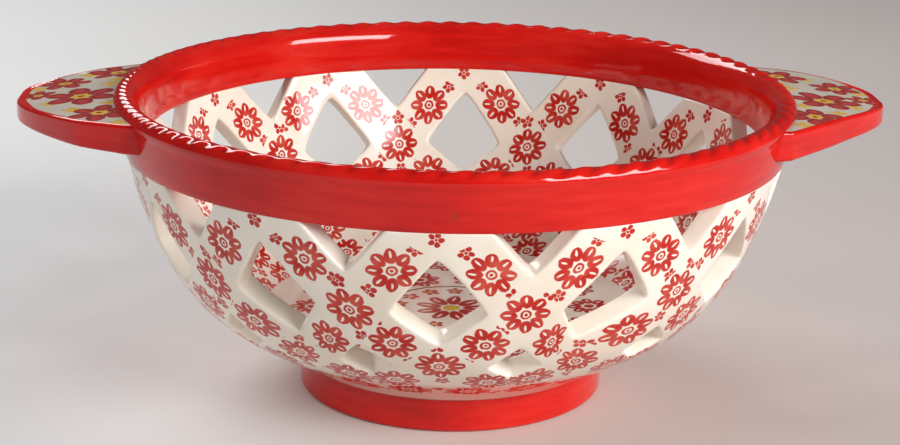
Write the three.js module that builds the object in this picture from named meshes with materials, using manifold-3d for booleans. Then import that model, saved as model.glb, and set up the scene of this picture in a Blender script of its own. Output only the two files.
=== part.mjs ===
// A pierced stoneware fruit bowl: foot ring, floor slab, diamond-pierced wall, plain rim band,
// twisted rope edge and two lug handles. Each is a clay piece, luted to its neighbours with slip.
// Millimetres, +Z up. The origin is on the table at the middle of the foot, and the handles lie along X,
// their tips a little towards +Y.

import * as THREE from "three";
import { mergeVertices } from "three/addons/utils/BufferGeometryUtils.js";
import Module from "manifold-3d";

const wasm = await Module();
wasm.setup();

// Foot and floor
const footRadius = 59; // outside of the foot ring, at its widest
const footHeight = 12.4; // table to the seat of the wall
const footWall = 8.6; // thickness of the ring
const footTaper = 0.9; // the ring's top is this much smaller in radius
const footEdge = 1.6; // rounding of the edges that meet the table
const floorReach = 0.19; // share of the wall's inside, counted up from the foot, that the floor covers
const floorThickness = 10; // slab in the middle of the bowl
const floorDish = 1.5; // the middle of the floor lies this much below its edge
const floorSkirt = 4; // how far the rim of the slab's underside reaches down into the foot ring
const floorSkirtWall = 7; // width of that rim

// Wall
const wallThickness = 9;
const wallTopRadius = 124.5; // outside of the wall under the rim band
const wallTopHeight = 96.2; // table to the underside of the rim band
const wallFootSlope = 32; // degrees above the horizon where the wall leaves the foot
const wallFootPull = 37; // how far the curve keeps to that slope
const wallTopSlope = 76; // degrees above the horizon where the wall meets the band
const wallTopPull = 67;

// Piercing: diagonal strips that cross on rows, counted down the wall from the rim band
const columns = 12; // diamonds in one row
const latticeTurn = -5.5; // degrees that a diamond stands off the front of the bowl
const stripWidth = 19.4; // strips around the upper two rows of openings
const lowerStripWidth = 24; // strips around the small lowest openings
const crossingDrops = [-5.6, 32.9, 61.2, 88.9]; // rows of crossings, measured along the wall
const cornerRounding = 2.2; // length of edge that each opening's corner takes up

// Rim band and rope edge
const bandHeight = 14.4;
const bandFlare = 2.6; // the band's top is this much wider in radius than its foot
const bandBulge = 0.6; // belly of the band's outside
const bandTopThickness = 8.8;
const ropeRadius = 4.4; // over the ridges
const ropeRidges = 80;
const ridgeDepth = 0.8;
const ropeRise = 3; // middle of the rope above the band's top
const ropeOverhang = 1.2; // the rope stands this much outside the middle of the band

// Handles
const handleLength = 37.5; // rim band to the handle's tip
const handleShoulderLength = 12.9; // rim band to the shoulders
const handleTuck = 9; // how far the blank runs in under the rope before it is fitted to the rim
const handleEar = 4.9; // the two ends of the root stand this much off the rim band
const handleSpread = 25.2; // degrees round the rim from the handle's middle to those ends
const handleShoulderHalf = 41; // half widths of the outline
const handleTipHalf = 6.5;
const handleRise = 3.8; // top face at the root, above the rim band
const handleDroop = 3.1; // the top face falls this much towards the tip
const handleRootThickness = 10.9;
const handleTipThickness = 7.2;
const handleEdge = 1.6; // rounding of the handle's edges
const handleSkew = 7; // each tip sits this much towards the back of the bowl

// Joints and facets
const slipGap = 0.3; // room left for slip between luted faces
const turns = 60; // facets round the bowl
const facetsPerRidge = 3; // facets along each ridge of the rope
const cutterReach = 4; // how far the piercing tools pass the wall's two faces

const glaze = (color, roughness) => new THREE.MeshStandardMaterial({ color, roughness, metalness: 0 });
const redGlaze = glaze("#c3201c", 0.18);
const creamGlaze = glaze("#efe4d0", 0.2);
const root = new THREE.Group();

function addPiece(name, geometry, material) {
  const piece = new THREE.Mesh(geometry, material);
  piece.name = name;
  root.add(piece);
}

// Turns a profile of (radius, height) points about the bowl's axis.
function revolve(profile, facets = turns) {
  const closed = profile[0].x < 1e-6 ? profile : [...profile, profile[0]];
  return new THREE.LatheGeometry(closed, facets).rotateX(Math.PI / 2);
}

function toSolid(geometry) {
  const bare = geometry.clone();
  bare.deleteAttribute("normal");
  bare.deleteAttribute("uv");
  const merged = mergeVertices(bare);
  return new wasm.Manifold(
    new wasm.Mesh({
      numProp: 3,
      vertProperties: merged.attributes.position.array,
      triVerts: new Uint32Array(merged.index.array),
    }),
  );
}

function toGeometry(solid) {
  const { vertProperties, triVerts } = solid.getMesh();
  const geometry = new THREE.BufferGeometry();
  geometry.setAttribute("position", new THREE.BufferAttribute(vertProperties, 3));
  geometry.setIndex(new THREE.BufferAttribute(triVerts, 1));
  return geometry;
}

// Moves every vertex of a geometry to the point that the rule gives for it.
function reshape(geometry, rule) {
  const places = geometry.attributes.position;
  const point = new THREE.Vector3();
  for (let i = 0; i < places.count; i++) {
    point.fromBufferAttribute(places, i);
    const moved = rule(point, i);
    places.setXYZ(i, moved.x, moved.y, moved.z);
  }
  return geometry;
}

const point2 = (x, y) => new THREE.Vector2(x, y);
const along = (degrees) => point2(1, 0).rotateAround(point2(0, 0), THREE.MathUtils.degToRad(degrees));
const inwards = (direction) => point2(-direction.y, direction.x);
const mix = THREE.MathUtils.lerp;

// Wall curves: the inside follows the outside at the wall's thickness
const wallStart = point2(footRadius - footTaper, footHeight);
const wallEnd = point2(wallTopRadius, wallTopHeight);
const footDirection = along(wallFootSlope);
const topDirection = along(wallTopSlope);
const outerCurve = new THREE.CubicBezierCurve(
  wallStart,
  wallStart.clone().addScaledVector(footDirection, wallFootPull),
  wallEnd.clone().addScaledVector(topDirection, -wallTopPull),
  wallEnd,
);
const stepIn = inwards(footDirection).multiplyScalar(wallThickness);
const stepBack = inwards(topDirection).multiplyScalar(wallThickness);
const innerCurve = new THREE.CubicBezierCurve(
  outerCurve.v0.clone().add(stepIn),
  outerCurve.v1.clone().add(stepIn),
  outerCurve.v2.clone().add(stepBack),
  outerCurve.v3.clone().add(stepBack),
);
const floorEdge = innerCurve.v0; // where the inside of the wall meets the floor

function makeFootRing() {
  const outer = footRadius;
  const inner = footRadius - footWall;
  const profile = new THREE.Path();
  profile.moveTo(inner + footEdge, 0);
  profile.lineTo(outer - footEdge, 0);
  profile.quadraticCurveTo(outer, 0, outer, footEdge);
  profile.lineTo(wallStart.x, footHeight);
  profile.lineTo(inner, footHeight);
  profile.lineTo(inner, footEdge);
  profile.quadraticCurveTo(inner, 0, inner + footEdge, 0);
  return revolve(profile.getPoints(3).slice(0, -1));
}

// The floor rests on the foot ring, has a skirt that centres it inside the ring, and lies against the wall's inside.
function makeFloor() {
  const skirt = footRadius - footWall - slipGap;
  const clearance = 3 * slipGap; // the wall's inside is faceted, so the slab keeps a little further off it
  const againstWall = [0, floorReach / 2, floorReach].map((share) =>
    innerCurve.getPointAt(share).addScaledVector(inwards(innerCurve.getTangentAt(share)), clearance),
  );
  const edge = againstWall.at(-1);
  const middle = edge.y - floorDish;
  const underside = middle - floorThickness;
  const top = new THREE.QuadraticBezierCurve(edge, point2(edge.x / 2, middle), point2(0, middle));
  return revolve([
    point2(0, underside),
    point2(skirt - floorSkirtWall, underside),
    point2(skirt - floorSkirtWall, footHeight - floorSkirt),
    point2(skirt, footHeight - floorSkirt),
    point2(skirt, footHeight),
    point2(floorEdge.x - clearance, footHeight),
    ...againstWall,
    ...top.getPoints(4).slice(1),
  ]);
}

// A place on the wall: across it to the left, up along it from the rim band's underside, and out of it.
const wallLength = outerCurve.getLength();
function onWall({ x, y, z }, turn) {
  const share = THREE.MathUtils.clamp(1 + y / wallLength, 0, 1);
  const slope = outerCurve.getTangentAt(share);
  const spot = outerCurve.getPointAt(share).addScaledVector(slope, Math.max(y, 0));
  const angle = turn + x / spot.x;
  spot.addScaledVector(inwards(slope), -z);
  return new THREE.Vector3(spot.x * Math.cos(angle), spot.x * Math.sin(angle), spot.y);
}

// How far a strip's edge stands off the crossing of two strips, up the wall and across it.
function stripOffsets(upperDrop, lowerDrop, width) {
  const middle = THREE.MathUtils.clamp(1 - (upperDrop + lowerDrop) / 2 / wallLength, 0, 1);
  const run = (Math.PI / columns) * outerCurve.getPointAt(middle).x;
  const fall = lowerDrop - upperDrop;
  const half = (width / 2) * Math.hypot(run, fall);
  return { run, up: half / run, across: half / fall };
}

// Closed outline with each corner eased by a short curve.
function easedOutline(corners) {
  const shape = new THREE.Shape();
  corners.forEach((corner, i) => {
    const before = corners.at(i - 1);
    const after = corners[(i + 1) % corners.length];
    const start = corner.clone().addScaledVector(before.clone().sub(corner).normalize(), cornerRounding);
    const end = corner.clone().addScaledVector(after.clone().sub(corner).normalize(), cornerRounding);
    if (i === 0) shape.moveTo(start.x, start.y);
    else shape.lineTo(start.x, start.y);
    shape.quadraticCurveTo(corner.x, corner.y, end.x, end.y);
  });
  shape.closePath();
  return shape;
}

// Diamond between four strips, from the row of crossings above it to the row below it.
function diamondCorners(row, width) {
  const [upper, middle, lower] = crossingDrops.slice(row, row + 3);
  const above = stripOffsets(upper, middle, width);
  const below = stripOffsets(middle, lower, width);
  const half = (above.run + below.run - above.across - below.across) / 2;
  return [
    point2(0, -upper - above.up),
    point2(-half, -middle),
    point2(0, -lower + below.up),
    point2(half, -middle),
  ];
}

// Triangle between two strips and the rim band, cut past the wall's top so that the band closes it.
function triangleCorners() {
  const [upper, lower] = crossingDrops;
  const { run, up } = stripOffsets(upper, lower, stripWidth);
  const apex = up - lower;
  const half = ((cutterReach - apex) * run) / (lower - upper);
  return [point2(half, cutterReach), point2(-half, cutterReach), point2(0, apex)];
}

function piercingTools(corners, firstTurn) {
  const depth = wallThickness + 2 * cutterReach;
  const outline = easedOutline(corners);
  const blank = new THREE.ExtrudeGeometry(outline, { depth, bevelEnabled: false, curveSegments: 2 });
  blank.translate(0, 0, cutterReach - depth);
  const pitch = (2 * Math.PI) / columns;
  return Array.from({ length: columns }, (_, i) =>
    toSolid(reshape(blank.clone(), (point) => onWall(point, firstTurn + i * pitch))),
  );
}

function makePiercedWall() {
  const outside = outerCurve.getSpacedPoints(9);
  const inside = innerCurve.getSpacedPoints(7).reverse();
  const solid = toSolid(revolve([...outside, ...inside, point2(floorEdge.x, footHeight)]));
  const front = THREE.MathUtils.degToRad(latticeTurn - 90);
  const between = front + Math.PI / columns;
  const tools = [
    ...piercingTools(triangleCorners(), between),
    ...piercingTools(diamondCorners(0, stripWidth), front),
    ...piercingTools(diamondCorners(1, lowerStripWidth), between),
  ];
  return toGeometry(tools.reduce((wall, tool) => wall.subtract(tool), solid));
}

// Rim band
const bandTop = wallTopHeight + bandHeight;
const bandTopRadius = wallTopRadius + bandFlare;
const bandStart = wallEnd.clone().addScaledVector(topDirection, slipGap);
const bandOutside = new THREE.QuadraticBezierCurve(
  bandStart,
  point2(wallTopRadius + bandFlare / 2 + 2 * bandBulge, wallTopHeight + bandHeight / 2),
  point2(bandTopRadius, bandTop),
);

function makeRimBand() {
  return revolve([
    ...bandOutside.getPoints(4),
    point2(bandTopRadius - bandTopThickness, bandTop),
    bandStart.clone().add(stepBack),
  ]);
}

// Rope edge: a round coil pressed flat on the band, with ridges that wind round it
const ropeMiddle = point2(bandTopRadius - bandTopThickness / 2 + ropeOverhang, bandTop + ropeRise);
const ropeSectionPoints = 8;

function makeRopeEdge() {
  const open = Math.asin(ropeRise / (ropeRadius - ridgeDepth)); // the flat seat cuts the round off here
  const profile = Array.from({ length: ropeSectionPoints }, (_, i) => {
    const angle = mix(-open, Math.PI + open, i / (ropeSectionPoints - 1));
    return point2(Math.cos(angle), Math.sin(angle))
      .multiplyScalar(ropeRadius - ridgeDepth)
      .add(ropeMiddle);
  });
  const facets = ropeRidges * facetsPerRidge;
  const rope = revolve(profile, facets);
  const perTurn = ropeSectionPoints + 1;
  return reshape(rope, (point, i) => {
    const station = Math.floor(i / perTurn) % facets;
    const place = i % perTurn;
    const onSeat = place === 0 || place >= ropeSectionPoints - 1;
    if (onSeat || (station + facets - place) % facetsPerRidge !== 0) return point;
    const radius = Math.hypot(point.x, point.y);
    const lift = point2(radius, point.z).sub(ropeMiddle).setLength(ridgeDepth);
    const grown = (radius + lift.x) / radius;
    return new THREE.Vector3(point.x * grown, point.y * grown, point.z + lift.y);
  });
}

// What the handles must clear: the outside of the wall's top, the band and the rope, with room for slip.
function rimEnvelope() {
  const clear = (spot) => point2(spot.x + slipGap, spot.y);
  const reach = ropeRadius + slipGap;
  const seat = Math.asin((ropeRise - slipGap) / reach);
  const roundTheRope = Array.from({ length: 9 }, (_, i) => {
    const angle = mix(-seat, Math.PI / 2, i / 8);
    return point2(ropeMiddle.x + reach * Math.cos(angle), ropeMiddle.y + reach * Math.sin(angle));
  });
  const below = outerCurve.getPointAt(0.8);
  return revolve([
    point2(0, below.y),
    clear(below),
    ...bandOutside.getPoints(4).map(clear),
    ...roundTheRope,
    point2(0, roundTheRope.at(-1).y),
  ]);
}

// Lug handle along +X, then turned to its place: wide root, straight sides and a blunt tip that lies to one side,
// thinner towards the tip
function makeHandle(turn, skew) {
  const atRootEnd = (radius) => along(handleSpread).multiplyScalar(radius);
  const tuck = atRootEnd(bandTopRadius - handleTuck);
  const ear = atRootEnd(bandTopRadius + handleEar);
  const shoulder = point2(bandTopRadius + handleShoulderLength, handleShoulderHalf);
  const tip = point2(bandTopRadius + handleLength, handleTipHalf);
  const neck = shoulder.clone().sub(ear);
  const nose = tip.clone().sub(shoulder);
  const side = [
    ear,
    point2(ear.x + 0.3 * neck.x, ear.y + 0.36 * neck.y),
    point2(shoulder.x - 0.34 * neck.x, shoulder.y - 0.32 * neck.y),
    shoulder,
    point2(shoulder.x + 0.5 * nose.x, shoulder.y + 0.32 * nose.y),
    point2(tip.x - 0.02 * nose.x, tip.y - 0.38 * nose.y),
    tip,
  ];
  const outline = new THREE.Shape();
  outline.moveTo(tuck.x, -tuck.y);
  outline.lineTo(ear.x, -ear.y);
  outline.bezierCurveTo(side[1].x, -side[1].y, side[2].x, -side[2].y, side[3].x, -side[3].y);
  outline.bezierCurveTo(side[4].x, -side[4].y, side[5].x, -side[5].y, side[6].x, -side[6].y);
  outline.lineTo(tip.x, tip.y);
  outline.bezierCurveTo(side[5].x, side[5].y, side[4].x, side[4].y, side[3].x, side[3].y);
  outline.bezierCurveTo(side[2].x, side[2].y, side[1].x, side[1].y, side[0].x, side[0].y);
  outline.lineTo(tuck.x, tuck.y);
  outline.closePath();
  const slab = new THREE.ExtrudeGeometry(outline, {
    depth: handleRootThickness - 2 * handleEdge,
    bevelThickness: handleEdge,
    bevelSize: handleEdge,
    bevelOffset: -handleEdge,
    bevelSegments: 2,
    curveSegments: 9,
  }).translate(0, 0, handleEdge);
  reshape(slab, ({ x, y, z }) => {
    const share = (x - bandTopRadius) / handleLength;
    const thickness = mix(handleRootThickness, handleTipThickness, share);
    const top = bandTop + handleRise - handleDroop * share;
    const aside = (skew * (x - ear.x)) / (tip.x - ear.x);
    return new THREE.Vector3(x, y + aside, top - thickness * (1 - z / handleRootThickness));
  });
  slab.rotateZ(turn);
  return toGeometry(toSolid(slab).subtract(toSolid(rimEnvelope())));
}

addPiece("foot_ring", makeFootRing(), redGlaze);
addPiece("bowl_floor", makeFloor(), creamGlaze);
addPiece("pierced_wall", makePiercedWall(), creamGlaze);
addPiece("rim_band", makeRimBand(), redGlaze);
addPiece("rope_edge", makeRopeEdge(), redGlaze);
addPiece("handle_right", makeHandle(0, handleSkew), redGlaze);
addPiece("handle_left", makeHandle(Math.PI, -handleSkew), redGlaze);

export default root;
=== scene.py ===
# Pierced stoneware bowl with a rope edge and two lug handles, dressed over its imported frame.
# The bowl's sizes are in millimetres and turn to metres as each vertex is made. The studio's are in metres.
# -Y is the side towards the camera.
import bisect
import math
import random

import bmesh
import bpy
from mathutils import Matrix, Vector, noise
from mathutils.geometry import interpolate_bezier


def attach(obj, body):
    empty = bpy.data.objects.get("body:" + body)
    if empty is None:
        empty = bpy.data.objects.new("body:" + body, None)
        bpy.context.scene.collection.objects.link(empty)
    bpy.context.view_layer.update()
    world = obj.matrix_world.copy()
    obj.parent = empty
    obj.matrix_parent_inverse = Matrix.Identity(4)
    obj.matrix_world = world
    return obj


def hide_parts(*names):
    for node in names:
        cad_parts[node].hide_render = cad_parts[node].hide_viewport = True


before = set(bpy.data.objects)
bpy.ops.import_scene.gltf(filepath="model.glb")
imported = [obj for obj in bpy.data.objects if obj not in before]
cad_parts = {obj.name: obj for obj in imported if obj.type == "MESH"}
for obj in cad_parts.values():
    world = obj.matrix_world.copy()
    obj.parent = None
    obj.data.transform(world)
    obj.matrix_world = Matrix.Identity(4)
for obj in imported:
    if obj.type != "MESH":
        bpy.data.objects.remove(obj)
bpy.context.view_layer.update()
scene = bpy.context.scene
scene.view_settings.view_transform = "Standard"
mm = 0.001


# An sRGB hex colour as linear light.
def toLinear(hexColour):
    parts = [int(hexColour[i : i + 2], 16) / 255 for i in (1, 3, 5)]
    return [p / 12.92 if p <= 0.04045 else ((p + 0.055) / 1.055) ** 2.4 for p in parts] + [1]


# Adds a node, sets its settings, and fills or links its inputs. A Mix node's two colours are its inputs 6 and 7,
# and the colour it gives is its output 2.
def addNode(tree, kind, inputs=None, **settings):
    node = tree.nodes.new(kind)
    for name, value in settings.items():
        setattr(node, name, value)
    for key, value in (inputs or {}).items():
        if isinstance(value, bpy.types.NodeSocket):
            tree.links.new(value, node.inputs[key])
        else:
            node.inputs[key].default_value = value
    return node


def newMaterial(name):
    material = bpy.data.materials.new(name)
    material.use_nodes = True
    material.node_tree.nodes.clear()
    return material, material.node_tree


# Colour ramp stops as (place, hex colour) pairs.
def setStops(ramp, stops):
    band = ramp.color_ramp
    while len(band.elements) < len(stops):
        band.elements.new(0.5)
    for element, (place, colour) in zip(band.elements, stops):
        element.position = place
        element.color = toLinear(colour)
    return ramp.outputs["Color"]


def finishPiece(name, bm, materials, node):
    mesh = bpy.data.meshes.new(name)
    bm.to_mesh(mesh)
    bm.free()
    for material in materials:
        mesh.materials.append(material)
    mesh.polygons.foreach_set("use_smooth", [True] * len(mesh.polygons))
    piece = bpy.data.objects.new(name, mesh)
    scene.collection.objects.link(piece)
    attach(piece, "root")
    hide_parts(node)
    print("made", name, len(mesh.polygons), "faces")
    return piece


# Camera, from the fit to the rim, the band and the foot, in millimetres and degrees
cameraView = {
    "away": 747.6, "height": 286.3, "turn": 3.4, "aside": 0.084, "pitch": 16.63, "roll": 1.01,
    "lens": 80.86, "sensor": 36,
}

cameraData = bpy.data.cameras.new("photoCamera")
cameraData.lens = cameraView["lens"]
cameraData.sensor_width = cameraView["sensor"]
camera = bpy.data.objects.new("photoCamera", cameraData)
scene.collection.objects.link(camera)
away, turn = cameraView["away"] * mm, math.radians(cameraView["turn"])
camera.matrix_world = (
    Matrix.Translation((-away * math.sin(turn), -away * math.cos(turn), cameraView["height"] * mm))
    @ Matrix.Rotation(math.radians(cameraView["aside"]) - turn, 4, "Z")
    @ Matrix.Rotation(math.radians(90 - cameraView["pitch"]), 4, "X")
    @ Matrix.Rotation(math.radians(cameraView["roll"]), 4, "Z")
)
scene.camera = camera
print("camera set")

# Studio: a wide soft box at the front right, a weaker one behind on the left, two fills from the left, one low
# and one high, that no glaze mirrors, a narrow spot on the left of the foot, and a dim room
studio = {
    "room": 0.07, "roomTint": (1.0, 0.99, 0.98, 1), "aim": (0, 0, 0.06),
    "boxes": [
        {"name": "keyBox", "at": (0.914, -0.882, 0.65), "size": (1.0, 0.42), "watts": 23.6, "mirrored": True},
        {"name": "backBox", "at": (-0.52, 0.83, 0.87), "size": (1.0, 0.35), "watts": 9.5, "mirrored": True},
        {"name": "lowFill", "at": (-0.85, -1.6, 0.25), "size": (0.8, 0.3), "watts": 3.9, "mirrored": False},
        {"name": "highFill", "at": (-1.1, -0.12, 1.2), "size": (0.6, 0.6), "watts": 3.0, "mirrored": False},
    ],
    "footSpot": {
        "at": (-0.866, -0.594, 0.688), "aim": (-0.06, -0.034, 0), "watts": 15.7,
        "cone": 5.2, "blend": 1, "radius": 0.05, "mirrored": False,
    },
}


def placeLamp(lampData, lamp, aim):
    lampData.energy = lamp["watts"]
    lampObject = bpy.data.objects.new(lampData.name, lampData)
    lampObject.visible_glossy = lamp["mirrored"]
    scene.collection.objects.link(lampObject)
    facing = (Vector(aim) - Vector(lamp["at"])).to_track_quat("-Z", "Y")
    lampObject.matrix_world = Matrix.Translation(lamp["at"]) @ facing.to_matrix().to_4x4()


for box in studio["boxes"]:
    boxData = bpy.data.lights.new(box["name"], "AREA")
    boxData.shape = "RECTANGLE"
    boxData.size, boxData.size_y = box["size"]
    placeLamp(boxData, box, studio["aim"])
footSpot = studio["footSpot"]
spotData = bpy.data.lights.new("footSpot", "SPOT")
spotData.spot_size = math.radians(footSpot["cone"])
spotData.spot_blend = footSpot["blend"]
spotData.shadow_soft_size = footSpot["radius"]
placeLamp(spotData, footSpot, footSpot["aim"])

world = bpy.data.worlds.new("studioWorld")
scene.world = world
world.use_nodes = True
roomLight = world.node_tree.nodes["Background"].inputs
roomLight["Color"].default_value = studio["roomTint"]
roomLight["Strength"].default_value = studio["room"]

# Painted paper sheet, matt, with painted shade: pale on the left, warmer and darker to the right, more even at the
# back, and a painted shadow at the front left, away from the lamps
sheetLook = {
    "reach": 6, "halfWidth": 0.3, "depth": 0.6, "places": (0, 0.36, 0.52, 1),
    "near": ("#eef1f2", "#efedec", "#d4c8c2", "#bcb3b0"), "far": ("#dadada", "#d2d0ce", "#ccc8c5", "#cec4c1"),
    "paintedShadowAt": (-0.25, -0.25, 0), "paintedShadowReach": (0.19, 0.32), "paintedShadow": 0.72, "roughness": 0.9, "specular": 0.1,
}

paper, tree = newMaterial("painted paper")
coords = addNode(tree, "ShaderNodeTexCoord")
apart = addNode(tree, "ShaderNodeSeparateXYZ", {0: coords.outputs["Object"]})
across = addNode(
    tree, "ShaderNodeMapRange",
    {"Value": apart.outputs["X"], "From Min": -sheetLook["halfWidth"], "From Max": sheetLook["halfWidth"]},
)
back = addNode(
    tree, "ShaderNodeMapRange", {"Value": apart.outputs["Y"], "From Min": 0, "From Max": sheetLook["depth"]}
)
# painted shade: the tones run darker to the right, and change from the front to the back
tones = []
for end in ("near", "far"):
    ramp = addNode(tree, "ShaderNodeValToRGB", {"Fac": across.outputs[0]})
    tones.append(setStops(ramp, list(zip(sheetLook["places"], sheetLook[end]))))
sheetColour = addNode(
    tree, "ShaderNodeMix", {"Factor": back.outputs[0], 6: tones[0], 7: tones[1]}, data_type="RGBA"
).outputs[2]
# painted shadow: the paper colour darkened round a spot at the front left, away from the lamps
fromShadow = addNode(
    tree, "ShaderNodeVectorMath", {0: coords.outputs["Object"], 1: sheetLook["paintedShadowAt"]}, operation="DISTANCE"
).outputs["Value"]
shadowNear, shadowFar = sheetLook["paintedShadowReach"]
paintedShadow = addNode(
    tree, "ShaderNodeMapRange",
    {"Value": fromShadow, "From Min": shadowNear, "From Max": shadowFar, "To Min": sheetLook["paintedShadow"], "To Max": 1},
)
shadowed = addNode(tree, "ShaderNodeVectorMath", {0: sheetColour, "Scale": paintedShadow.outputs[0]}, operation="SCALE")
shader = addNode(
    tree, "ShaderNodeBsdfPrincipled",
    {
        "Base Color": shadowed.outputs[0], "Roughness": sheetLook["roughness"],
        "Specular IOR Level": sheetLook["specular"],
    },
)
addNode(tree, "ShaderNodeOutputMaterial", {"Surface": shader.outputs[0]})

bm = bmesh.new()
bmesh.ops.create_grid(bm, x_segments=2, y_segments=2, size=sheetLook["reach"])
floorMesh = bpy.data.meshes.new("studioFloor")
bm.to_mesh(floorMesh)
bm.free()
floorMesh.materials.append(paper)
studioFloor = bpy.data.objects.new("studioFloor", floorMesh)
scene.collection.objects.link(studioFloor)
print("studio set")

# Red glazed stoneware: thick glossy glaze brushed on in turns, so faint streaks run round the bowl,
# darker in the rope's grooves, as glaze pooling with painted shade, and one brown fleck on the band
redLook = {
    "tones": ((0.34, "#b8110d"), (0.5, "#cc1913"), (0.66, "#d62a1e")), "pooledAndShaded": "#7a0b0a",
    "streakHeight": 2.5, "streakSquash": 0.12, "patch": 45, "patchShare": 0.55,
    "speck": "#8e3312", "speckAt": (-6.8, -125.8, 102.5), "speckSize": 2, "speckStrength": 0.8,
    "ripple": 7, "rippleHeight": 0.4, "rippleStrength": 0.12, "roughness": 0.08, "ior": 1.5, "specular": 0.4,
}

redGlaze, tree = newMaterial("red glazed stoneware")
coords = addNode(tree, "ShaderNodeTexCoord")
squash = redLook["streakSquash"]
squashed = addNode(tree, "ShaderNodeMapping", {"Vector": coords.outputs["Object"], "Scale": (squash, squash, 1)})
streaks = addNode(
    tree, "ShaderNodeTexNoise",
    {"Vector": squashed.outputs[0], "Scale": 1 / (redLook["streakHeight"] * mm), "Detail": 3},
)
thickness = addNode(
    tree, "ShaderNodeTexNoise",
    {"Vector": coords.outputs["Object"], "Scale": 1 / (redLook["patch"] * mm), "Detail": 2},
)
brushed = addNode(
    tree, "ShaderNodeMix",
    {"Factor": redLook["patchShare"], 2: streaks.outputs["Fac"], 3: thickness.outputs["Fac"]},
)
ramp = addNode(tree, "ShaderNodeValToRGB", {"Fac": brushed.outputs[0]})
redColour = setStops(ramp, redLook["tones"])
# painted shade with glaze pooling: the rope's grooves turn a darker red
groove = addNode(tree, "ShaderNodeAttribute", attribute_name="groove")
pooledAndShaded = addNode(
    tree, "ShaderNodeMix",
    {"Factor": groove.outputs["Fac"], 6: redColour, 7: toLinear(redLook["pooledAndShaded"])}, data_type="RGBA",
)
speckAt = [part * mm for part in redLook["speckAt"]]
fromSpeck = addNode(
    tree, "ShaderNodeVectorMath", {0: coords.outputs["Object"], 1: speckAt}, operation="DISTANCE"
).outputs["Value"]
speck = addNode(
    tree, "ShaderNodeMapRange",
    {
        "Value": fromSpeck, "From Min": 0, "From Max": redLook["speckSize"] * mm,
        "To Min": redLook["speckStrength"], "To Max": 0,
    },
)
spotted = addNode(
    tree, "ShaderNodeMix",
    {"Factor": speck.outputs[0], 6: pooledAndShaded.outputs[2], 7: toLinear(redLook["speck"])}, data_type="RGBA",
)
ripple = addNode(
    tree, "ShaderNodeTexNoise",
    {"Vector": coords.outputs["Object"], "Scale": 1 / (redLook["ripple"] * mm), "Detail": 1},
)
bump = addNode(
    tree, "ShaderNodeBump",
    {
        "Strength": redLook["rippleStrength"], "Distance": redLook["rippleHeight"] * mm,
        "Height": ripple.outputs["Fac"],
    },
)
shader = addNode(
    tree, "ShaderNodeBsdfPrincipled",
    {
        "Base Color": spotted.outputs[2], "Roughness": redLook["roughness"], "IOR": redLook["ior"],
        "Specular IOR Level": redLook["specular"], "Normal": bump.outputs[0],
    },
)
addNode(tree, "ShaderNodeOutputMaterial", {"Surface": shader.outputs[0]})

# Cream glazed stoneware with stamped red daisies: the print sits under clear glaze, a little uneven in ink.
# A petal is given as how far out its middle is, half its length and half its width, a shake as how long a drawn
# line's waver is, and how wide. The span is what the stamp's map covers.
creamLook = {
    "cream": "#f3eadd", "warm": "#ebdfcd", "drift": 30, "driftPlaces": (0.35, 0.6),
    "inks": ((0.42, "#b9241c"), (0.72, "#cf5546")), "inkPatch": 7, "span": 40, "shake": (2.5, 0.9),
    "petals": 8, "petal": (5.8, 3.1, 2.4), "slit": (6.4, 1.6, 0.5), "eyeRing": (1.3, 2.2), "eye": 0.7,
    "floretOut": 11.9, "floretPetals": 5, "floretPetal": (1.85, 1.2, 1.08), "floretEye": 0.7,
}
# Clear glaze: shiny, with soft dimples. Thick paint stands up so many dimple heights under it.
clearGlaze = {
    "dimple": 6, "dimpleHeight": 0.4, "dimpleStrength": 0.12, "paintHeight": 3.0,
    "roughness": 0.1, "ior": 1.5, "specular": 0.36,
}


# Cream ground that drifts between two tones, shared by the wall, the floor and the handle tops.
def creamGround(tree, coords, pale=creamLook["cream"], warm=creamLook["warm"]):
    drift = addNode(
        tree, "ShaderNodeTexNoise",
        {"Vector": coords.outputs["Object"], "Scale": 1 / (creamLook["drift"] * mm), "Detail": 3},
    )
    ramp = addNode(tree, "ShaderNodeValToRGB", {"Fac": drift.outputs["Fac"]})
    return setStops(ramp, list(zip(creamLook["driftPlaces"], (warm, pale))))


# Clear glaze over a painted colour; relief is where thick paint stands up, from 0 to 1.
def glossOver(tree, coords, colour, relief=None):
    height = addNode(
        tree, "ShaderNodeTexNoise",
        {"Vector": coords.outputs["Object"], "Scale": 1 / (clearGlaze["dimple"] * mm), "Detail": 1},
    ).outputs["Fac"]
    if relief:
        height = addNode(
            tree, "ShaderNodeMath", {0: relief, 1: clearGlaze["paintHeight"], 2: height}, operation="MULTIPLY_ADD"
        ).outputs[0]
    bump = addNode(
        tree, "ShaderNodeBump",
        {
            "Strength": clearGlaze["dimpleStrength"], "Distance": clearGlaze["dimpleHeight"] * mm,
            "Height": height,
        },
    )
    shader = addNode(
        tree, "ShaderNodeBsdfPrincipled",
        {
            "Base Color": colour, "Roughness": clearGlaze["roughness"], "IOR": clearGlaze["ior"],
            "Specular IOR Level": clearGlaze["specular"], "Normal": bump.outputs[0],
        },
    )
    addNode(tree, "ShaderNodeOutputMaterial", {"Surface": shader.outputs[0]})


# Moves the points of a drawing about a little, as a hand would.
def drawnByHand(tree, coords, spot, shake):
    length, width = shake
    waver = addNode(
        tree, "ShaderNodeTexNoise", {"Vector": coords.outputs["Object"], "Scale": 1 / (length * mm), "Detail": 1}
    )
    shift = addNode(
        tree, "ShaderNodeVectorMath", {0: waver.outputs["Color"], 1: (0.5, 0.5, 0.5)}, operation="SUBTRACT"
    )
    return addNode(
        tree, "ShaderNodeVectorMath", {0: shift.outputs[0], 1: (width, width, 0), 2: spot}, operation="MULTIPLY_ADD"
    ).outputs[0]


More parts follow.
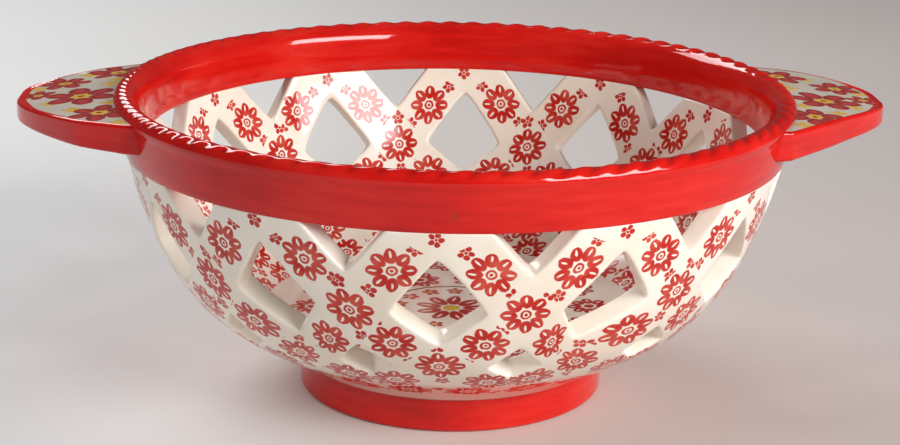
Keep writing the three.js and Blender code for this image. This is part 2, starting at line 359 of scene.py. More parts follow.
# Folds the plane round a point into one of several equal sectors. Gives the folded place, with X along the
# sector's middle and Y aside from it, and the distance from the point.
def foldRound(tree, spot, sectors):
    apart = addNode(tree, "ShaderNodeSeparateXYZ", {0: spot})
    angle = addNode(tree, "ShaderNodeMath", {0: apart.outputs["Y"], 1: apart.outputs["X"]}, operation="ARCTAN2")
    halfSector = math.pi / sectors
    turned = addNode(tree, "ShaderNodeMath", {0: angle.outputs[0], 1: halfSector, 2: -halfSector}, operation="WRAP")
    radius = addNode(tree, "ShaderNodeVectorMath", {0: spot}, operation="LENGTH").outputs["Value"]
    cosine = addNode(tree, "ShaderNodeMath", {0: turned.outputs[0]}, operation="COSINE")
    sine = addNode(tree, "ShaderNodeMath", {0: turned.outputs[0]}, operation="SINE")
    along = addNode(tree, "ShaderNodeMath", {0: radius, 1: cosine.outputs[0]}, operation="MULTIPLY").outputs[0]
    aside = addNode(tree, "ShaderNodeMath", {0: radius, 1: sine.outputs[0]}, operation="MULTIPLY").outputs[0]
    return addNode(tree, "ShaderNodeCombineXYZ", {"X": along, "Y": aside}).outputs[0], radius


# Sets a motif round a point, so many times and so far out. Gives the place as seen from the nearest motif.
def setRound(tree, spot, count, out):
    folded, _ = foldRound(tree, spot, count)
    return addNode(tree, "ShaderNodeVectorMath", {0: folded, 1: (out, 0, 0)}, operation="SUBTRACT").outputs[0]


# For petals set round a point: how far from the middle of the nearest one, in petal sizes, for each
# (out, half length, half width) given, and then the distance from the point.
def petalFields(tree, spot, petals, sizes):
    folded, radius = foldRound(tree, spot, petals)
    fields = []
    for out, halfLength, halfWidth in sizes:
        off = addNode(tree, "ShaderNodeVectorMath", {0: folded, 1: (out, 0, 0)}, operation="SUBTRACT")
        shrink = (1 / halfLength, 1 / halfWidth, 1)
        shrunk = addNode(tree, "ShaderNodeVectorMath", {0: off.outputs[0], 1: shrink}, operation="MULTIPLY")
        field = addNode(tree, "ShaderNodeVectorMath", {0: shrunk.outputs[0]}, operation="LENGTH")
        fields.append(field.outputs["Value"])
    return *fields, radius


# 1 where a value is under the edge, 0 over it, with a soft step between.
def under(tree, value, soft, edge=1.0):
    step = {"Value": value, "From Min": edge - soft, "From Max": edge, "To Min": 1, "To Max": 0}
    return addNode(tree, "ShaderNodeMapRange", step).outputs[0]


def greatest(tree, values):
    most = values[0]
    for value in values[1:]:
        most = addNode(tree, "ShaderNodeMath", {0: most, 1: value}, operation="MAXIMUM").outputs[0]
    return most


# Lays paints over a ground in turn, as (where it covers, hex colour) pairs.
def layPaints(tree, ground, paints):
    for cover, colour in paints:
        ground = addNode(
            tree, "ShaderNodeMix", {"Factor": cover, 6: ground, 7: toLinear(colour)}, data_type="RGBA"
        ).outputs[2]
    return ground


printedCream, tree = newMaterial("cream glazed stoneware, stamped")
coords = addNode(tree, "ShaderNodeTexCoord")
stampMap = addNode(tree, "ShaderNodeUVMap", uv_map="stamp")
centred = addNode(tree, "ShaderNodeVectorMath", {0: stampMap.outputs[0], 1: (0.5, 0.5, 0)}, operation="SUBTRACT")
inMm = addNode(tree, "ShaderNodeVectorMath", {0: centred.outputs[0], "Scale": creamLook["span"]}, operation="SCALE")
pressed = drawnByHand(tree, coords, inMm.outputs[0], creamLook["shake"])
stampPetal, stampSlit, fromEye = petalFields(
    tree, pressed, creamLook["petals"], [creamLook["petal"], creamLook["slit"]]
)
bothSides = addNode(tree, "ShaderNodeVectorMath", {0: pressed}, operation="ABSOLUTE")
beside = addNode(
    tree, "ShaderNodeVectorMath", {0: bothSides.outputs[0], 1: (creamLook["floretOut"], 0, 0)}, operation="SUBTRACT"
).outputs[0]
floret, floretRadius = petalFields(tree, beside, creamLook["floretPetals"], [creamLook["floretPetal"]])
petalInk = addNode(
    tree, "ShaderNodeMath",
    {0: under(tree, stampPetal, soft=0.1), 1: under(tree, stampSlit, soft=0.3)}, operation="SUBTRACT",
)
ringInner, ringOuter = creamLook["eyeRing"]
eyeRing = addNode(
    tree, "ShaderNodeMath",
    {0: under(tree, fromEye, soft=0.3, edge=ringOuter), 1: under(tree, fromEye, soft=0.3, edge=ringInner)},
    operation="SUBTRACT",
)
inked = greatest(
    tree,
    [
        petalInk.outputs[0],
        eyeRing.outputs[0],
        under(tree, fromEye, soft=0.2, edge=creamLook["eye"]),
        under(tree, floret, soft=0.15),
        under(tree, floretRadius, soft=0.2, edge=creamLook["floretEye"]),
    ],
)
inkNoise = addNode(
    tree, "ShaderNodeTexNoise",
    {"Vector": coords.outputs["Object"], "Scale": 1 / (creamLook["inkPatch"] * mm), "Detail": 3},
)
ramp = addNode(tree, "ShaderNodeValToRGB", {"Fac": inkNoise.outputs["Fac"]})
inkColour = setStops(ramp, creamLook["inks"])
stamped = addNode(
    tree, "ShaderNodeMix", {"Factor": inked, 6: creamGround(tree, coords), 7: inkColour}, data_type="RGBA"
)
glossOver(tree, coords, stamped.outputs[2])

# Plain cream glazed stoneware: smooth and shiny, for the openings' cut edges and the floor's underside
plainCream, tree = newMaterial("cream glazed stoneware, plain")
coords = addNode(tree, "ShaderNodeTexCoord")
glossOver(tree, coords, creamGround(tree, coords))

# Cream glazed floor, painted by hand under clear glaze: one big red daisy with a yellow eye, a wreath of florets,
# a brown turning line, and two rows of daisies beyond it. Wreath and rows are (how many, how far out).
floorLook = {
    "red": "#b3261f", "yellow": "#dcae3c", "brown": "#6a4028", "shake": (6, 1.6),
    "petals": 9, "petal": (9.2, 5.4, 2.9), "slit": (10.4, 2.7, 0.6), "eye": 3.4,
    "wreath": (13, 20.5), "floretPetals": 5, "floretPetal": (2.2, 1.5, 1.3), "floretEye": 1.1,
    "line": 26, "lineHalf": 0.6, "daisies": ((10, 36), (16, 54)),
}

paintedFloor, tree = newMaterial("cream glazed stoneware, painted floor")
coords = addNode(tree, "ShaderNodeTexCoord")
flatMap = addNode(tree, "ShaderNodeMapping", {"Vector": coords.outputs["Object"], "Scale": (1 / mm, 1 / mm, 0)})
drawn = drawnByHand(tree, coords, flatMap.outputs[0], floorLook["shake"])
bigPetal, bigSlit, fromMiddle = petalFields(
    tree, drawn, floorLook["petals"], [floorLook["petal"], floorLook["slit"]]
)
paints = [
    (under(tree, bigPetal, soft=0.1), floorLook["red"]),
    (under(tree, bigSlit, soft=0.3), creamLook["warm"]),
    (under(tree, fromMiddle, soft=0.4, edge=floorLook["eye"]), floorLook["yellow"]),
]
inWreath = setRound(tree, drawn, *floorLook["wreath"])
floret, floretRadius = petalFields(tree, inWreath, floorLook["floretPetals"], [floorLook["floretPetal"]])
paints += [
    (under(tree, floret, soft=0.15), floorLook["red"]),
    (under(tree, floretRadius, soft=0.2, edge=floorLook["floretEye"]), floorLook["yellow"]),
]
for count, out in floorLook["daisies"]:
    inRow = setRound(tree, drawn, count, out)
    daisyPetal, daisySlit, fromEye = petalFields(
        tree, inRow, creamLook["petals"], [creamLook["petal"], creamLook["slit"]]
    )
    paints += [
        (under(tree, daisyPetal, soft=0.1), floorLook["red"]),
        (under(tree, daisySlit, soft=0.3), creamLook["warm"]),
        (under(tree, fromEye, soft=0.3, edge=ringOuter), floorLook["red"]),
    ]
line = addNode(
    tree, "ShaderNodeMath", {0: fromMiddle, 1: floorLook["line"], 2: floorLook["lineHalf"]}, operation="COMPARE"
)
paints.append((line.outputs[0], floorLook["brown"]))
glossOver(tree, coords, layPaints(tree, creamGround(tree, coords), paints))

# Cream glazed handle top with painted blossoms: red petals, yellow middles and buds, all standing up a little.
# Shapes within a blossom are in shares of its radius.
panelLook = {
    "ground": "#d6ccbd", "warm": "#c4b8a6", "petal": "#c0403a", "petalEdge": "#a32a2b", "yellow": "#e2b444",
    "shake": (4, 1.4), "budPetals": 4, "bud": (2.0, 1.9, 1.35), "petals": 6, "petalShape": (0.62, 0.42, 0.31),
    "heartShape": (0.66, 0.28, 0.17), "eye": 0.27, "dot": 0.1,
}


# Blossoms as (x, y, radius, turn in degrees) and buds as (x, y), in the handle's own millimetres.
def makePanelGlaze(name, turned, blossoms, buds):
    material, tree = newMaterial(name)
    coords = addNode(tree, "ShaderNodeTexCoord")
    placed = addNode(
        tree, "ShaderNodeMapping",
        {"Vector": coords.outputs["Object"], "Rotation": (0, 0, -turned), "Scale": (1 / mm, 1 / mm, 0)},
    )
    drawn = drawnByHand(tree, coords, placed.outputs[0], panelLook["shake"])
    paints = []
    for x, y in buds:
        off = addNode(tree, "ShaderNodeVectorMath", {0: drawn, 1: (x, y, 0)}, operation="SUBTRACT")
        bud, _ = petalFields(tree, off.outputs[0], panelLook["budPetals"], [panelLook["bud"]])
        paints.append((under(tree, bud, soft=0.15), panelLook["yellow"]))
    for x, y, size, spin in blossoms:
        spun = addNode(
            tree, "ShaderNodeVectorRotate", {"Vector": drawn, "Center": (x, y, 0), "Angle": math.radians(spin)}
        )
        off = addNode(tree, "ShaderNodeVectorMath", {0: spun.outputs[0], 1: (x, y, 0)}, operation="SUBTRACT")
        shapes = [[part * size for part in panelLook[shape]] for shape in ("petalShape", "heartShape")]
        petal, heart, radius = petalFields(tree, off.outputs[0], panelLook["petals"], shapes)
        paints += [
            (under(tree, petal, soft=0.12), panelLook["petalEdge"]),
            (under(tree, heart, soft=0.4), panelLook["petal"]),
            (under(tree, radius, soft=0.3, edge=panelLook["eye"] * size), panelLook["yellow"]),
            (under(tree, radius, soft=0.3, edge=panelLook["dot"] * size), panelLook["petalEdge"]),
        ]
    ground = creamGround(tree, coords, panelLook["ground"], panelLook["warm"])
    relief = greatest(tree, [cover for cover, colour in paints])
    glossOver(tree, coords, layPaints(tree, ground, paints), relief)
    return material


# Bare stoneware: the wiped underside of the foot, fired buff and dry, its grit drawn coarse so that it shows
clayLook = {"tones": ((0.35, "#b08d6c"), (0.65, "#cdb091")), "grit": 1.2, "roughness": 0.85}

bareClay, tree = newMaterial("bare stoneware")
coords = addNode(tree, "ShaderNodeTexCoord")
grit = addNode(
    tree, "ShaderNodeTexNoise",
    {"Vector": coords.outputs["Object"], "Scale": 1 / (clayLook["grit"] * mm), "Detail": 4},
)
ramp = addNode(tree, "ShaderNodeValToRGB", {"Fac": grit.outputs["Fac"]})
clayColour = setStops(ramp, clayLook["tones"])
shader = addNode(
    tree, "ShaderNodeBsdfPrincipled", {"Base Color": clayColour, "Roughness": clayLook["roughness"]}
)
addNode(tree, "ShaderNodeOutputMaterial", {"Surface": shader.outputs[0]})
print("glazes mixed")


# Turns a profile of (radius, height) points round the bowl's axis. An open profile starts and ends on the axis.
def turnProfile(points, steps, closed=True):
    bm = bmesh.new()
    ring = [bm.verts.new((r * mm, 0, z * mm)) for r, z in points]
    pairs = zip(ring, ring[1:] + ring[:1]) if closed else zip(ring, ring[1:])
    edges = [bm.edges.new(pair) for pair in pairs]
    bmesh.ops.spin(
        bm, geom=ring + edges, axis=(0, 0, 1), cent=(0, 0, 0), angle=2 * math.pi, steps=steps, use_merge=True
    )
    bmesh.ops.remove_doubles(bm, verts=bm.verts, dist=0.01 * mm)
    bmesh.ops.recalc_face_normals(bm, faces=bm.faces)
    return bm


def roundEdges(bm, edges, width, segments):
    return bmesh.ops.bevel(
        bm, geom=edges, offset=width * mm, offset_type="OFFSET", segments=segments,
        profile=0.5, affect="EDGES", material=-1, clamp_overlap=True,
    )


def sharpEdges(bm, degrees):
    return [e for e in bm.edges if e.calc_face_angle(0) > math.radians(degrees)]


# Keeps the shading crisp where the faces turn by more than so many degrees.
def keepCrisp(bm, degrees):
    for edge in sharpEdges(bm, degrees):
        edge.smooth = False


def curvePoints(a, b, c, d, count):
    return [(p.x, p.y) for p in interpolate_bezier(*(Vector((*p, 0)) for p in (a, b, c, d)), count)]


def heading(degrees):
    return Vector((math.cos(math.radians(degrees)), math.sin(math.radians(degrees))))


def smoothStep(low, high, value):
    share = min(max((value - low) / (high - low), 0), 1)
    return share * share * (3 - 2 * share)


# Foot ring
foot = {"radius": 59, "height": 12.4, "wall": 8.6, "taper": 0.9, "edge": 1.8, "steps": 160}

footInner, footTop = foot["radius"] - foot["wall"], foot["radius"] - foot["taper"]
bm = turnProfile(
    [(footInner, 0), (foot["radius"], 0), (footTop, foot["height"]), (footInner, foot["height"])], foot["steps"]
)
roundEdges(bm, [e for e in sharpEdges(bm, 30) if e.verts[0].co.z < mm], foot["edge"], segments=4)
for face in bm.faces:
    if face.normal.z < -0.97:  # wiped bare underneath
        face.material_index = 1
keepCrisp(bm, 50)
finishPiece("footRing", bm, [redGlaze, bareClay], "foot_ring")

# Outside curve of the wall, and how far down it from the rim band each row of crossings lies
wall = {
    "thickness": 7.8, "topRadius": 124.5, "topHeight": 96.2,
    "footSlope": 32, "footPull": 37, "topSlope": 76, "topPull": 67,
    "columns": 12, "turn": -5.5, "strip": 19.4, "lowerStrip": 24, "drops": (-5.6, 32.9, 61.2, 88.9),
    "base": (15, -3), "low": (5, 11),  # corners under the openings, middle and side: mm below a row of crossings
    "cuts": 5, "edge": 1.15, "corner": 40, "cornerEase": 0.3, "stampSpin": 12, "stampSlip": 0.7,
    "seed": 11, "unevenness": 0.5, "lumps": 7, "aboutRadius": 100, "trueEnds": 8,
    # corners cut off true by hand: degrees round, mm down, and how far off in degrees and mm,
    # which dies away over so many square mm
    "slips": ((-35.5, 47.4, 3.0, 2.0), (24.5, 47.4, -5.0, -0.5)), "slipSpread": 180,
}
wallStart = Vector((footTop, foot["height"]))
wallEnd = Vector((wall["topRadius"], wall["topHeight"]))
footWay, topWay = heading(wall["footSlope"]), heading(wall["topSlope"])
wallCurve = curvePoints(
    wallStart, wallStart + footWay * wall["footPull"], wallEnd - topWay * wall["topPull"], wallEnd, count=400
)
wallCurve = [Vector(point) for point in wallCurve[::-1]]
wallDrops = [0.0]
for before, after in zip(wallCurve, wallCurve[1:]):
    wallDrops.append(wallDrops[-1] + (after - before).length)
wallLength = wallDrops[-1]


# The wall's outside as (radius, height), so far down it from the rim band. It runs straight on past its ends.
def wallSpot(drop):
    i = min(bisect.bisect(wallDrops, max(drop, 0)), len(wallDrops) - 1) - 1
    way = wallCurve[i + 1] - wallCurve[i]
    return wallCurve[i] + way.normalized() * (drop - wallDrops[i])


# Bowl floor: lies against the lowest part of the wall's inside, with a skirt inside the foot ring
bowlFloor = {
    "reach": 21.5, "thickness": 10, "dish": 1.5, "skirt": 4, "skirtWall": 7, "skirtGap": 0.3, "bedding": 0.2,
    "seatSteps": 6, "rings": (0.9, 0.8, 0.65, 0.5, 0.35, 0.2, 0.1, 0), "steps": 128,
}


# The wall's inside, so far up it from the foot.
def insideSpot(up):
    lower, upper = wallSpot(wallLength - up), wallSpot(wallLength - up - 0.5)  # half a mm apart, for the slope
    way = (upper - lower).normalized()
    return lower + Vector((-way.y, way.x)) * (wall["thickness"] - bowlFloor["bedding"])


seatSteps = bowlFloor["seatSteps"]
seat = [insideSpot(bowlFloor["reach"] * i / seatSteps) for i in range(seatSteps + 1)]
floorEdge = seat[-1]
floorMiddle = floorEdge.y - bowlFloor["dish"]
underside = floorMiddle - bowlFloor["thickness"]
skirtOuter = footInner - bowlFloor["skirtGap"]
skirtInner, skirtFoot = skirtOuter - bowlFloor["skirtWall"], foot["height"] - bowlFloor["skirt"]
dished = [(floorEdge.x * s, floorMiddle + bowlFloor["dish"] * s**3) for s in bowlFloor["rings"]]
bm = turnProfile(
    [
        (0, underside), (skirtInner, underside), (skirtInner, skirtFoot), (skirtOuter, skirtFoot),
        (skirtOuter, foot["height"]), (seat[0].x, foot["height"]), *(tuple(spot) for spot in seat), *dished,
    ],
    bowlFloor["steps"], closed=False,
)
keepCrisp(bm, 50)
for face in bm.faces:  # only the top is painted
    face.material_index = int(face.normal.z < 0.8)
finishPiece("bowlFloor", bm, [paintedFloor, plainCream], "bowl_floor")


# Pierced wall: columns of strips and crossings, each stamped, then bent onto the bowl and thickened.
# For a strip between two crossings: how far it runs aside, and how far its edges lie above and beside its middle.
def stripOffsets(upper, lower, width):
    run = math.pi / wall["columns"] * wallSpot(max((upper + lower) / 2, 0)).x
    fall = lower - upper
    slant = width / 2 * math.hypot(run, fall)
    return run, slant / run, slant / fall


halfColumn = 180 / wall["columns"]
dropA, dropB, dropC, dropD = wall["drops"]
runAB, upAB, acrossAB = stripOffsets(dropA, dropB, wall["strip"])
runBC, upBC, acrossBC = stripOffsets(dropB, dropC, wall["strip"])
lowBC, lowUpBC, lowAcrossBC = stripOffsets(dropB, dropC, wall["lowerStrip"])
lowCD, lowUpCD, lowAcrossCD = stripOffsets(dropC, dropD, wall["lowerStrip"])
diamondHalf = (runAB + runBC - acrossAB - acrossBC) / 2
smallHalf = (lowBC + lowCD - lowAcrossBC - lowAcrossCD) / 2
triangleTip = dropB - upAB
triangleHalf = triangleTip * runAB / (dropB - dropA)
spots = {  # degrees from the middle of the column, millimetres down from the rim band
    "topMiddle": (0, 0),
    "triangleCorner": (halfColumn - math.degrees(triangleHalf / wallSpot(0).x), 0),
    "triangleTip": (halfColumn, triangleTip),
    "diamondTop": (0, dropA + upAB),
    "diamondSide": (math.degrees(diamondHalf / wallSpot(dropB).x), dropB),
    "diamondFoot": (0, dropC - upBC),
    "smallTop": (halfColumn, dropB + lowUpBC),
    "smallSide": (halfColumn - math.degrees(smallHalf / wallSpot(dropC).x), dropC),
    "smallFoot": (halfColumn, dropD - lowUpCD),
    "baseMiddle": (0, dropC + wall["base"][0]),
    "baseSide": (halfColumn, dropD + wall["base"][1]),
    "lowMiddle": (0, dropD + wall["low"][0]),
    "lowSide": (halfColumn, dropD + wall["low"][1]),
    "endMiddle": (0, wallLength),
    "endSide": (halfColumn, wallLength),
}
spots["nextDiamondSide"] = (2 * halfColumn - spots["diamondSide"][0], dropB)
# Corners, mirrored or not, which corner the print runs to from the first one, and how far along the print the
# middle is, or None where nothing is printed
patches = [
    (("topMiddle", "-triangleCorner", "diamondTop", "triangleCorner"), False, 2, creamLook["floretOut"]),
    (("diamondTop", "diamondSide", "triangleTip", "triangleCorner"), True, 1, 0),
    (("diamondSide", "diamondFoot", "smallSide", "smallTop"), True, 1, 0),
    (("diamondFoot", "-smallSide", "baseMiddle", "smallSide"), False, 2, 0),
    (("smallSide", "baseMiddle", "baseSide", "smallFoot"), True, 3, 0),
    (("baseMiddle", "lowMiddle", "lowSide", "baseSide"), True, 3, 0),
    (("lowMiddle", "endMiddle", "endSide", "lowSide"), True, 3, None),
    (("triangleTip", "diamondSide", "smallTop", "nextDiamondSide"), False, 2, 0),
]
offPrint = (3, 3)  # a place on the stamp's map that is clear of the print


def cornerSpot(name, side):
    angle, drop = spots[name.lstrip("-")]
    return (-angle if name.startswith("-") else angle) * side, drop


bm = bmesh.new()
stampLayer = bm.loops.layers.uv.new("stamp")
lipLayer = bm.verts.layers.int.new("lip")
dice = random.Random(wall["seed"])
noise.seed_set(wall["seed"])  # it would start from the clock
for column in range(wall["columns"]):
    corners = {}
    for names, mirrored, toward, middleAt in patches:
        for side in (1, -1) if mirrored else (1,):
            places = [cornerSpot(name, side) for name in names]
            flats = [Vector((math.radians(angle) * wallSpot(drop).x, -drop)) for angle, drop in places]
            for place in places:
                if place not in corners:
                    corners[place] = bm.verts.new((place[0] + 2 * halfColumn * column, place[1], 0))
            face = bm.faces.new([corners[place] for place in places][::side])
            middle = sum(flats, Vector((0, 0))) / 4
            axis = flats[toward] - flats[0]
            aslant = math.radians(dice.gauss(0, wall["stampSpin"]))
            spin = Matrix.Rotation(-math.atan2(axis.y, axis.x) + aslant, 2)
            slip = Vector((dice.gauss(0, wall["stampSlip"]), dice.gauss(0, wall["stampSlip"])))
            for loop, flat in zip(face.loops, flats[::side]):
                printed = spin @ (flat - middle) + slip + Vector((middleAt or 0, 0))
                onPrint = printed / creamLook["span"] + Vector((0.5, 0.5))
                loop[stampLayer].uv = offPrint if middleAt is None else onPrint
bmesh.ops.subdivide_edges(bm, edges=bm.edges[:], cuts=wall["cuts"], use_grid_fill=True)

# Bent onto the bowl, a little uneven but true at both ends
hair = 1e-4  # mm, less than any real gap
for vert in bm.verts:
    angle, drop = vert.co.x + wall["turn"], vert.co.y
    vert[lipLayer] = int(drop < hair or drop > wallLength - hair)
    turned = math.radians(angle - 90)
    onCylinder = Vector((math.cos(turned), math.sin(turned), drop / wall["aboutRadius"]))
    uneven = noise.noise_vector(onCylinder * wall["lumps"]) * wall["unevenness"]
    freed = smoothStep(0, wall["trueEnds"], min(drop, wallLength - drop))
    angle += math.degrees(uneven.x / wall["aboutRadius"]) * freed
    drop += uneven.y * freed
    for at, down, aside, lower in wall["slips"]:
        around = math.radians((angle - at + 180) % 360 - 180) * wallSpot(down).x
        near = math.exp(-(around**2 + (drop - down) ** 2) / wall["slipSpread"])
        angle += aside * near
        drop += lower * near
    spot = wallSpot(drop)
    turned = math.radians(angle - 90)
    vert.co = Vector((spot.x * math.cos(turned), spot.x * math.sin(turned), spot.y)) * mm
bmesh.ops.remove_doubles(bm, verts=bm.verts, dist=0.05 * mm)
bmesh.ops.recalc_face_normals(bm, faces=bm.faces)
if sum(face.normal.xy.dot(face.calc_center_median().xy) for face in bm.faces) < 0:
    bmesh.ops.reverse_faces(bm, faces=bm.faces)

# Corners of the openings eased, then the sheet made thick and its cut edges rounded
eased = []
for vert in bm.verts:
    ends = [e.other_vert(vert).co for e in vert.link_edges if e.is_boundary]
    if len(ends) == 2 and not vert[lipLayer]:
        if (ends[0] - vert.co).angle(vert.co - ends[1]) > math.radians(wall["corner"]):
            eased.append((vert, vert.co.lerp((ends[0] + ends[1]) / 2, wall["cornerEase"])))
for vert, softer in eased:
    vert.co = softer
print("wall sheet", len(bm.faces), "faces, boundary edges", sum(e.is_boundary for e in bm.edges))
sheet = set(bm.verts)
bmesh.ops.solidify(bm, geom=bm.faces[:], thickness=wall["thickness"] * mm)
for face in bm.faces:  # a cut face has corners on both skins
    face.material_index = int(len({vert in sheet for vert in face.verts}) == 2)
openings = [e for e in sharpEdges(bm, 35) if not all(v[lipLayer] for v in e.verts)]
roundEdges(bm, openings, wall["edge"], segments=3)
creases = bm.edges.layers.float.new("crease_edge")
for edge in sharpEdges(bm, 35):
    if all(v[lipLayer] for v in edge.verts):
        edge[creases] = 1
piercedWall = finishPiece("piercedWall", bm, [printedCream, plainCream], "pierced_wall")
soft = piercedWall.modifiers.new("soft", "SUBSURF")
soft.levels = soft.render_levels = 1
soft.uv_smooth = "NONE"

# Rim band: its two faces run on into the rope edge without a crease
band = {
    "height": 14.4, "flare": 2.6, "topThickness": 8.8, "edge": 0.3, "steps": 240,
    "outside": ((125.7, 101.0), (126.4, 106.6)), "inside": ((117.75, 106.5), (116.9, 102.3)),
}

bandTop = wall["topHeight"] + band["height"]
bandRadius = wall["topRadius"] + band["flare"]
bandInner = bandRadius - band["topThickness"]
bandFoot = wallEnd + Vector((-topWay.y, topWay.x)) * wall["thickness"]
bandProfile = curvePoints(wallEnd, *band["outside"], (bandRadius, bandTop), count=9)
bandProfile += curvePoints((bandInner, bandTop), *band["inside"], bandFoot, count=9)
bm = turnProfile(bandProfile, band["steps"])
lowEdges = [e for e in sharpEdges(bm, 30) if e.verts[0].co.z < (bandTop - 1) * mm]
roundEdges(bm, lowEdges, band["edge"], segments=2)
keepCrisp(bm, 50)
finishPiece("rimBand", bm, [redGlaze], "rim_band")

# Rope edge: a bead that rounds the band over, with slanting notches across its crown that die out down both sides.
# Closer and shallow say how much, at which degrees from +X, and how wide. Fades are degrees over the bead.
rope = {
    "top": 117.55, "crown": 125.0, "side": (128.05, 113.8), "foot": ((127.32, 111.8), (128.05, 112.4)),
    "outside": ((128.05, 114.6), (127.0, 117.55)), "inside": ((121.8, 117.55), (118.95, 115.3)),
    "ridges": 80, "perRidge": 14, "depth": 0.7, "winds": 2.6, "middle": (123.6, 112.8), "fades": (22, 60, 88, 128),
    "closer": (8, 180, 25), "shallow": ((0.8, 150, 26), (0.6, 248, 18)), "poolAndShadeStrength": 0.5, "poolAndShadePower": 4,
}

crown = (rope["crown"], rope["top"])
bead = curvePoints((bandRadius, bandTop), *rope["foot"], rope["side"], count=5)
bead += curvePoints(rope["side"], *rope["outside"], crown, count=12)[1:]
bead += curvePoints(crown, *rope["inside"], (bandInner, bandTop), count=14)[1:]
bm = turnProfile(bead, rope["ridges"] * rope["perRidge"])
grooveLayer = bm.verts.layers.float.new("groove")
extra, extraAt, extraWidth = rope["closer"]
start, full, easing, gone = (math.radians(a) for a in rope["fades"])
for vert in bm.verts:
    x, y, z = vert.co / mm
    flat = math.hypot(x, y)
    out, up = flat - rope["middle"][0], z - rope["middle"][1]
    roll = math.atan2(up, out)
    around = math.atan2(y, x) % (2 * math.pi)
    closer = extra * math.pi * math.erf((around - math.radians(extraAt)) / math.radians(extraWidth) / math.sqrt(2))
    phase = rope["ridges"] * around + closer - rope["winds"] * roll
    cut = 1
    for less, at, width in rope["shallow"]:
        cut -= less * math.exp(-(((math.degrees(around) - at) / width) ** 2) / 2)
    valley = math.sin(phase / 2) ** 2
    fade = smoothStep(start, full, roll) * (1 - smoothStep(easing, gone, roll)) if roll > 0 else 0
    sunk = rope["depth"] * cut * valley * fade / math.hypot(out, up)
    flatNew = flat - out * sunk
    vert.co = Vector((x * flatNew / flat, y * flatNew / flat, z - up * sunk)) * mm
    # the darker red of the grooves, glaze pooling with painted shade, strongest deep in each valley
    vert[grooveLayer] = rope["poolAndShadeStrength"] * valley ** rope["poolAndShadePower"] * fade
keepCrisp(bm, 60)
finishPiece("ropeEdge", bm, [redGlaze], "rope_edge")

# Lug handles, shaped by hand: each side has its own shoulder and its own ear along the rim.
# Spans say where a change sets in and where it is full: degrees along the rim for the ears, millimetres short of
# the tip, or millimetres from the middle towards the far side.
handle = {
    "length": 37.4, "shoulderLength": 12.9, "tipHalf": 6.5, "ear": 3.8, "tuck": 6, "rise": 3.8, "droop": 3.1,
    "flare": ((2.0, 0.4), (0.4, 0.9), (-2.0, 1.4)), "rootThickness": 10.9, "tipThickness": 7.2, "rootSteps": 16,
    "earPull": 0.33, "neckPull": 7, "nosePull": 11, "tipPull": (0.02, 0.38), "skew": 7, "skewFrom": 7,
    "edge": 1.2, "edgeFrom": 1.5, "border": 0.25, "earDrop": 1.2, "earSpan": (14, 27),
    "tipBorder": 2.2, "tipBorderSpan": (12, 3), "tipFall": 0.8, "tipFallSpan": (16, 5),
    "farBorder": 1.1, "farSpan": (4, 16),
}


def onRim(out, degrees):
    return heading(degrees) * (bandRadius + out)


# One side of the outline, from the rim band out to the tip.
def handleSide(shoulderHalf, spread):
    ear = onRim(handle["ear"], spread)
    shoulder = Vector((bandRadius + handle["shoulderLength"], shoulderHalf))
    tip = Vector((bandRadius + handle["length"], handle["tipHalf"]))
    neck, nose = shoulder - ear, tip - shoulder
    along = (neck.normalized() + nose.normalized()).normalized()
    tipPull = Vector((handle["tipPull"][0] * nose.x, handle["tipPull"][1] * nose.y))
    neckCurve = curvePoints(
        ear, ear + handle["earPull"] * neck, shoulder - handle["neckPull"] * along, shoulder, count=12
    )
    noseCurve = curvePoints(shoulder, shoulder + handle["nosePull"] * along, tip - tipPull, tip, count=14)
    flare = [tuple(onRim(out, spread + more)) for out, more in handle["flare"][::-1]]
    return flare + neckCurve + noseCurve[1:]


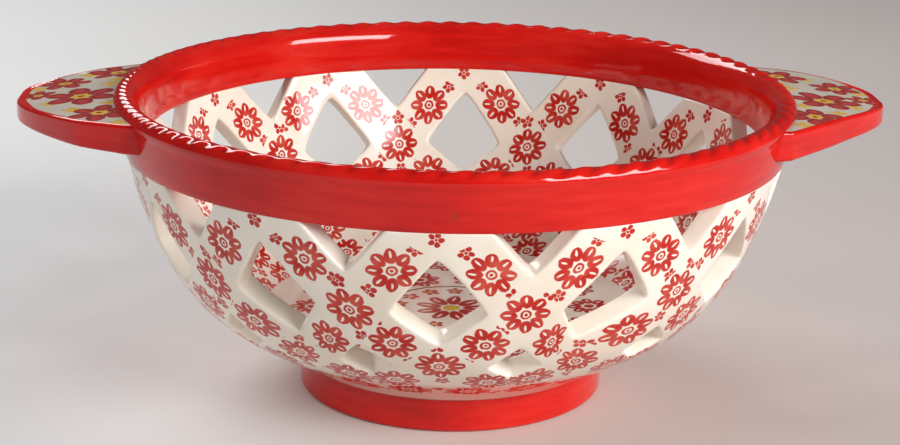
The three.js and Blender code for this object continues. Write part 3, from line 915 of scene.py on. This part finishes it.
# Sides are (half width at the shoulder, degrees along the rim), first the one on the handle's own -Y.
def makeHandle(name, node, turned, skew, sides, panelGlaze):
    bm = bmesh.new()
    skewX, tipX = bandRadius - handle["skewFrom"], bandRadius + handle["length"]
    tuckRadius, rootSteps = bandRadius - handle["tuck"], handle["rootSteps"]
    first, last = (math.radians(spread + handle["flare"][-1][1]) for _, spread in sides)
    arc = [last - (first + last) * i / rootSteps for i in range(rootSteps + 1)]
    root = [(tuckRadius * math.cos(a), tuckRadius * math.sin(a)) for a in arc]
    outline = root + [(x, -y) for x, y in handleSide(*sides[0])] + handleSide(*sides[1])[::-1]
    base = bm.faces.new([bm.verts.new((x, y + skew * (x - skewX) / (tipX - skewX), 0)) for x, y in outline])
    top = bmesh.ops.extrude_face_region(bm, geom=[base])["geom"]
    bmesh.ops.translate(bm, verts=[v for v in top if isinstance(v, bmesh.types.BMVert)], vec=(0, 0, 1))
    for vert in bm.verts:  # Z is 0 underneath and 1 on top until here
        share = (vert.co.x - bandRadius) / handle["length"]
        thick = handle["rootThickness"] + (handle["tipThickness"] - handle["rootThickness"]) * share
        height = bandTop + handle["rise"] - handle["droop"] * share - thick * (1 - vert.co.z)
        spread = abs(math.degrees(math.atan2(vert.co.y, vert.co.x)))
        height -= handle["earDrop"] * vert.co.z * smoothStep(*handle["earSpan"], spread)
        vert.co = Vector((vert.co.x, vert.co.y, height)) * mm
    bmesh.ops.recalc_face_normals(bm, faces=bm.faces)
    edgeRadius = (bandRadius - handle["edgeFrom"]) * mm
    outer = [e for e in sharpEdges(bm, 30) if max(v.co.xy.length for v in e.verts) > edgeRadius]
    roundEdges(bm, outer, handle["edge"], segments=4)
    topFace = max(bm.faces, key=lambda f: f.calc_area() * f.normal.z)
    bmesh.ops.inset_region(bm, faces=[topFace], thickness=handle["border"] * mm, use_even_offset=True)
    far = math.copysign(1, math.cos(turned))  # the far side is +Y on the right handle and -Y on the left one
    borderFrom, borderFull = (tipX - short for short in handle["tipBorderSpan"])
    for vert in topFace.verts:
        vert.co.x -= handle["tipBorder"] * mm * smoothStep(borderFrom, borderFull, vert.co.x / mm)
        vert.co.y -= far * handle["farBorder"] * mm * smoothStep(*handle["farSpan"], far * vert.co.y / mm)
    fallFrom, fallFull = (tipX - short for short in handle["tipFallSpan"])
    topRing = {vert for edge in topFace.edges for face in edge.link_faces for vert in face.verts}
    for vert in topRing - set(topFace.verts):
        vert.co.z -= handle["tipFall"] * mm * smoothStep(fallFrom, fallFull, vert.co.x / mm)
    topFace.material_index = 1
    bmesh.ops.rotate(bm, verts=bm.verts, cent=(0, 0, 0), matrix=Matrix.Rotation(turned, 3, "Z"))
    piece = finishPiece(name, bm, [redGlaze, panelGlaze], node)
    piece.modifiers.new("evenShade", "WEIGHTED_NORMAL")


rightPanel = makePanelGlaze(
    "cream glazed handle top, right", 0,
    [(140, -6, 14, 8), (150, 19, 10, 25), (130, 34, 12, 0), (130, -35, 11.5, 40), (157, 1, 7, 12)],
    [(131, 13), (150, -14), (141, 33), (141, -26), (121, 48), (123, -48), (158, 12), (128, 20), (129, -19)],
)
leftPanel = makePanelGlaze(
    "cream glazed handle top, left", math.pi,
    [(140, 4, 14, 20), (149, -21, 10, 0), (130, 33, 11.5, 35), (130, -36, 12, 10), (157, -3, 7, 30)],
    [(131, -14), (151, 12), (141, 25), (141, -34), (122, 48), (122, -49), (158, -14), (128, 18), (129, -21)],
)
makeHandle("handleRight", "handle_right", 0, handle["skew"], ((38.5, 26.6), (46, 24)), rightPanel)
makeHandle("handleLeft", "handle_left", math.pi, -handle["skew"], ((41, 24), (43, 23.6)), leftPanel)

print("bowl dressed")
